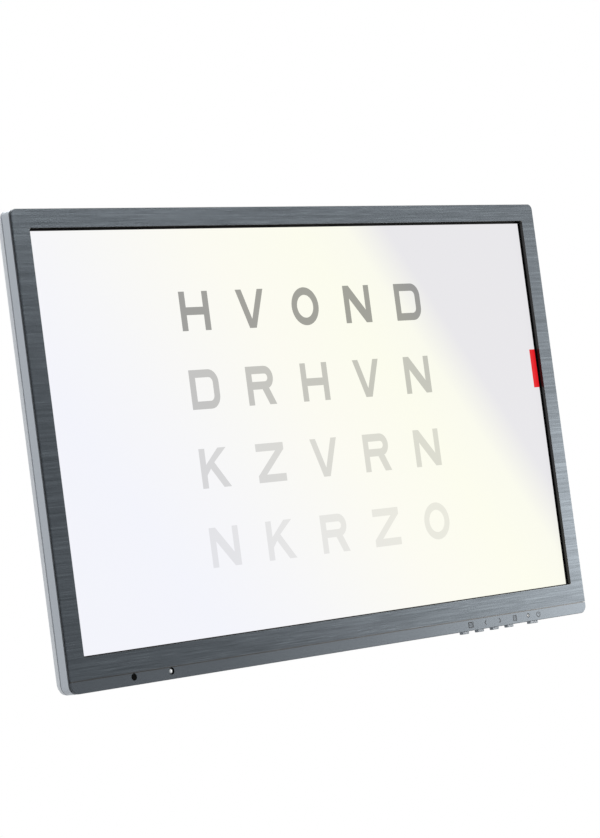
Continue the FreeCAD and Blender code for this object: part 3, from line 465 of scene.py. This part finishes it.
def smoothed(node, name, slot, angle):
    """Stands a merged copy with smooth bends in for a CAD node whose bends show flat steps.

    Flat faces keep their own direction right up to the bends beside them.
    """
    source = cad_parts[node]
    piece = bpy.data.objects.new(name, source.data.copy())
    bpy.context.scene.collection.objects.link(piece)
    pick(piece)
    bpy.ops.object.mode_set(mode="EDIT")
    bpy.ops.mesh.select_all(action="SELECT")
    bpy.ops.mesh.remove_doubles(threshold=0.000002)
    bpy.ops.object.mode_set(mode="OBJECT")
    bpy.context.tool_settings.mesh_select_mode = (False, False, True)
    bpy.ops.object.mode_set(mode="EDIT")
    bpy.ops.mesh.select_all(action="DESELECT")
    bpy.ops.object.mode_set(mode="OBJECT")
    for face in piece.data.polygons:
        across, deep, up = (abs(part) for part in face.normal)
        face.select = deep > FLAT_ENOUGH or (max(across, up) > FLAT_ENOUGH and face.area > WALL_AREA)
    bpy.ops.object.mode_set(mode="EDIT")
    bpy.ops.mesh.mod_weighted_strength(set=True, face_strength="STRONG")
    bpy.ops.object.mode_set(mode="OBJECT")
    bpy.ops.object.shade_smooth_by_angle(angle=math.radians(angle))
    bpy.ops.object.modifier_add(type="WEIGHTED_NORMAL")
    piece.modifiers[-1].keep_sharp = True
    piece.modifiers[-1].use_face_influence = True
    bpy.ops.object.modifier_apply(modifier=piece.modifiers[-1].name)
    fit(piece, FINISHES[slot][0].material)
    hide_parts(node)
    return piece


def cut_plate(name, outlines, front, thickness):
    """A thin plate cut to closed outlines in X and Z; an outline within another is a hole in it."""
    curve = bpy.data.curves.new(name, "CURVE")
    curve.dimensions = "2D"
    curve.fill_mode = "BOTH"
    curve.extrude = thickness / 2
    for points in outlines:
        spline = curve.splines.new("POLY")
        spline.points.add(len(points) - 1)
        for point, (x, z) in zip(spline.points, points):
            point.co = (x, z, 0, 1)
        spline.use_cyclic_u = True
    piece = bpy.data.objects.new(name, curve)
    bpy.context.scene.collection.objects.link(piece)
    pick(piece)
    bpy.ops.object.convert(target="MESH")
    piece = bpy.context.view_layer.objects.active
    piece.rotation_euler = (math.radians(90), 0, 0)
    piece.location = (0, front + thickness / 2, 0)
    bpy.ops.object.transform_apply(location=True, rotation=True, scale=True)
    bpy.ops.object.mode_set(mode="EDIT")
    bpy.ops.mesh.select_all(action="SELECT")
    bpy.ops.mesh.remove_doubles(threshold=0.000001)
    bpy.ops.mesh.normals_make_consistent(inside=False)
    bpy.ops.object.mode_set(mode="OBJECT")
    return piece


def arc(x, z, radius, start, end, steps=10):
    """Points round a part circle, by degrees."""
    turns = [math.radians(start + (end - start) * step / steps) for step in range(steps + 1)]
    return [(x + radius * math.cos(turn), z + radius * math.sin(turn)) for turn in turns]


def round_ring(x, z, outer, inner, steps):
    return [arc(x, z, outer, 0, 360, steps)[:-1], arc(x, z, inner, 0, 360, steps)[:-1]]


def bar(left, right, low, up):
    return [(left, low), (right, low), (right, up), (left, up)]


# The test letters, on a square of five units with strokes of one unit
LETTERS = {
    "H": [[(0, 0), (1, 0), (1, 2), (4, 2), (4, 0), (5, 0), (5, 5), (4, 5), (4, 3), (1, 3), (1, 5), (0, 5)]],
    "N": [[(0, 0), (1, 0), (1, 3.3), (3.9, 0), (5, 0), (5, 5), (4, 5), (4, 1.7), (1.1, 5), (0, 5)]],
    "V": [[(0, 5), (1.9, 0), (3.1, 0), (5, 5), (3.95, 5), (2.5, 1.15), (1.05, 5)]],
    "K": [[(0, 0), (1, 0), (1, 1.6), (1.75, 2.45), (3.7, 0), (5, 0), (2.45, 3.2), (4.75, 5), (3.3, 5),
           (1, 2.95), (1, 5), (0, 5)]],
    "Z": [[(0, 0), (5, 0), (5, 1), (1.5, 1), (5, 4.1), (5, 5), (0, 5), (0, 4), (3.5, 4), (0, 0.9)]],
    "D": [[(0, 0)] + arc(3.3, 1.7, 1.7, -90, 0) + arc(3.3, 3.3, 1.7, 0, 90) + [(0, 5)],
          [(1, 1)] + arc(3.3, 1.7, 0.7, -90, 0) + arc(3.3, 3.3, 0.7, 0, 90) + [(1, 4)]],
    "O": round_ring(2.5, 2.5, 2.5, 1.5, 48),
    "R": [[(0, 0), (1, 0), (1, 2), (2.7, 2), (3.75, 0), (5, 0), (3.85, 2.2)] + arc(3.3, 3.5, 1.5, -62, 90)
          + [(0, 5)],
          [(1, 3)] + arc(3.3, 3.5, 0.5, -90, 90) + [(1, 4)]],
}

for row, (letters, share) in enumerate(ROWS):
    unit = LETTER_SIZE / 5
    low = ROW_TOP - row * ROW_PITCH - LETTER_SIZE
    outlines = []
    for column, letter in enumerate(letters):
        left = LETTER_LEFT + column * LETTER_PITCH
        outlines += [[(left + x * unit, low + z * unit) for x, z in points] for points in LETTERS[letter]]
    piece = cut_plate("letter_row_%d" % (row + 1), outlines, GLASS_FRONT - LETTER_THICKNESS,
                      LETTER_THICKNESS)
    fit(piece, chart_ink("letter_shade_%d" % (row + 1), share).material)

# The red mark at the right edge of the lit area
mark_outline = bar(MARK_LEFT, SCREEN_WIDE / 2, MARK_LOW, MARK_HIGH)
red_mark = cut_plate("red_mark", [mark_outline], GLASS_FRONT - LETTER_THICKNESS, LETTER_THICKNESS)
fit(red_mark, plain_light("red_mark", (235, 28, 36)).material)


def chevron(x, z, reach, half, stroke, side):
    """An open arrow head that points left or right."""
    points = [(-reach / 2, 0), (reach / 2, half), (reach / 2 + stroke * 0.5, half - stroke * 0.9),
              (-reach / 2 + stroke * 1.4, 0), (reach / 2 + stroke * 0.5, -half + stroke * 0.9),
              (reach / 2, -half)]
    return [[(x + side * px, z + pz) for px, pz in points]]


def square_frame(x, z, half, stroke):
    """A square outline, and the hole that leaves a frame of it."""
    hole = half - stroke
    return [bar(x - half, x + half, z - half, z + half), bar(x - hole, x + hole, z - hole, z + hole)]


def symbols():
    """The outlines of the plain symbols over the keys, by name."""
    z = ICON_LEVEL
    shapes = {}
    x = ICON_PLACES["source"]
    edge = x + ICON_HALF + ICON_STROKE
    shapes["source_symbol"] = square_frame(x, z, ICON_HALF, ICON_STROKE) + [
        [(x + px, z + pz) for px, pz in SMALL_ARROW],
        bar(edge, edge + 1.2 * ICON_STROKE, z - ICON_HALF, z + ICON_HALF)]
    shapes["left_symbol"] = chevron(ICON_PLACES["left"], z, ARROW_REACH, ARROW_HALF, ICON_STROKE, 1)
    shapes["lamp_symbol"] = round_ring(ICON_PLACES["lamp"], z + LAMP_LIFT, *LAMP_RING, 24)
    shapes["right_symbol"] = chevron(ICON_PLACES["right"], z, ARROW_REACH, ARROW_HALF, ICON_STROKE, -1)
    x = ICON_PLACES["menu"]
    shapes["menu_symbol"] = square_frame(x, z, ICON_HALF, MENU_STROKE) + [
        bar(x - RULE_REACH, x + RULE_REACH, z + level - RULE_HALF, z + level + RULE_HALF)
        for level in RULE_LEVELS]
    x = ICON_PLACES["power"]
    outer, inner = POWER_RING
    shapes["power_symbol"] = [
        arc(x, z, outer, 120, 420, 28) + arc(x, z, inner, 420, 120, 28),
        bar(x - POWER_BAR_HALF, x + POWER_BAR_HALF, z + POWER_BAR_LOW, z + POWER_BAR_HIGH)]
    return shapes


symbol_finish = moulded("symbol_print", (26, 29, 34), (20, 22, 27), 0.7, 2500.0, 0.000002)
for name, outlines in symbols().items():
    piece = cut_plate(name, outlines, BEZEL_FRONT - ICON_THICKNESS, ICON_THICKNESS)
    fit(piece, symbol_finish.material)

# Curved CAD pieces whose bends would show flat steps
smoothed("rear_cover", "moulded_rear_cover", "rear_plastic", 35.0)
smoothed("side_band", "bright_side_band", "silver_band", 25.0)
sensor_dome = smoothed("sensor_lens", "sensor_dome", "clear_acrylic", 40.0)
sensor_dome.data.materials[0] = milky_dome().material

# Stage: a pale floor well below the hung display, a white surround and soft lamps
FLOOR_LEVEL = -1.65
FLOOR_REACH = 3.6


def pale_floor():
    """A pale floor that runs out to white, and lights the display only by what the lamps throw on it."""
    finish = Finish("pale_floor")
    x, y = finish.axis(0), finish.axis(1)
    far = (x * x + y * y).maths("SQRT")
    fade = finish.ramp(far * (1 / FLOOR_REACH), [(0.45, grey(0)), (0.92, (1, 1, 1, 1))])
    finish.wear(Base_Color=grey(238), Roughness=0.8)
    seen = 1 - finish.node("LightPath", output=2)
    glare = finish.node("Emission", {}, {0: (1, 1, 1, 1), 1: 1.0})
    mixed = finish.node("MixShader", {}, {0: fade * seen, 1: Signal(finish, finish.surface.outputs[0]),
                                          2: glare})
    finish.tree.links.new(mixed.socket, finish.tree.nodes["Material Output"].inputs["Surface"])
    return finish.material


bpy.ops.object.select_all(action="DESELECT")
bpy.ops.mesh.primitive_circle_add(vertices=96, radius=FLOOR_REACH, fill_type="NGON",
                                  location=(0, 0, FLOOR_LEVEL))
floor = bpy.context.view_layer.objects.active
floor.name = "floor"
bpy.ops.object.transform_apply(location=True, rotation=True, scale=True)
floor.data.materials.append(pale_floor())


def studio_world():
    """White where it is seen, mirrored or seen through; otherwise grey light that is dimmer from below."""
    world = bpy.data.worlds.new("studio")
    world.use_nodes = True
    nodes, links = world.node_tree.nodes, world.node_tree.links
    rays = nodes.new("ShaderNodeLightPath")
    seen = rays.outputs["Is Camera Ray"]
    for kind in ("Is Glossy Ray", "Is Transmission Ray"):
        either = nodes.new("ShaderNodeMath")
        either.operation = "MAXIMUM"
        links.new(seen, either.inputs[0])
        links.new(rays.outputs[kind], either.inputs[1])
        seen = either.outputs[0]
    height = nodes.new("ShaderNodeSeparateXYZ")
    links.new(nodes.new("ShaderNodeTexCoord").outputs["Generated"], height.inputs[0])
    dimming = nodes.new("ShaderNodeMapRange")
    for name, value in (("From Min", -0.6), ("From Max", 0.1), ("To Min", 0.3), ("To Max", 0.64)):
        dimming.inputs[name].default_value = value
    links.new(height.outputs[2], dimming.inputs["Value"])
    backdrop = nodes.new("ShaderNodeMix")
    backdrop.data_type = "RGBA"
    backdrop.inputs[7].default_value = (1, 1, 1, 1)
    links.new(seen, backdrop.inputs[0])
    links.new(dimming.outputs[0], backdrop.inputs[6])
    links.new(backdrop.outputs[2], nodes["Background"].inputs["Color"])
    return world


bpy.context.scene.world = studio_world()


def soft_lamp(name, place, target, wide, high, power, colour):
    """A soft box that faces a point; it is seen only in what it lights."""
    data = bpy.data.lights.new(name, "AREA")
    data.shape = "RECTANGLE"
    data.size = wide
    data.size_y = high
    data.energy = power
    data.color = colour
    lamp = bpy.data.objects.new(name, data)
    lamp.location = place
    lamp.rotation_euler = (Vector(target) - Vector(place)).to_track_quat("-Z", "Y").to_euler()
    lamp.visible_camera = False
    bpy.context.scene.collection.objects.link(lamp)


WARM = (1.0, 0.975, 0.94)
WHITE = (1, 1, 1)
LOWER_RIGHT = (0.25, -0.05, -0.15)
MIDDLE = (0, 0, 0)
# Name, place, point that it faces, width, height, watts and colour
LAMPS = (
    ("low_right_box", (1.4, -0.75, -0.25), LOWER_RIGHT, 0.5, 0.6, 5.4, WARM),
    ("small_right_box", (1.15, -0.85, -0.3), LOWER_RIGHT, 0.5, 0.5, 0.66, WARM),
    ("right_box", (1.6, -0.95, 0.1), (0.25, -0.05, 0), 0.5, 0.6, 2.26, WARM),
    ("front_box", (1.3, -1.1, 0.05), (0.1, -0.05, 0), 0.5, 0.5, 1.05, WARM),
    ("high_right_box", (1.25, -1.25, 0.8), (0, -0.05, 0.1), 0.9, 0.5, 18.0, WARM),
    ("left_box", (-1.6, -0.4, 0.9), MIDDLE, 1.2, 1.2, 7.0, WHITE),
    ("top_box", (0.2, -0.9, 1.9), MIDDLE, 1.6, 1.0, 6.0, WHITE),
    ("rear_box", (0.6, 1.8, 1.2), MIDDLE, 1.6, 1.2, 20.0, WHITE),
)
for lamp in LAMPS:
    soft_lamp(*lamp)

# Camera at the photograph's place and angle
CAMERA_LENS = 129.92
CAMERA_PLACE = (-1.657, -1.641, -0.104)
CAMERA_RIGHT = Vector((0.6963, -0.7058, -0.1302))
CAMERA_UP = Vector((0.0562, -0.1273, 0.9903))
camera_data = bpy.data.cameras.new("camera")
camera_data.lens = CAMERA_LENS
camera_data.sensor_width = 36.0
camera_data.sensor_fit = "AUTO"
camera = bpy.data.objects.new("camera", camera_data)
turn = Matrix((CAMERA_RIGHT, CAMERA_UP, CAMERA_RIGHT.cross(CAMERA_UP))).transposed()
camera.matrix_world = Matrix.Translation(CAMERA_PLACE) @ turn.to_4x4()
bpy.context.scene.collection.objects.link(camera)
bpy.context.scene.camera = camera

bpy.context.scene.view_settings.view_transform = "Standard"
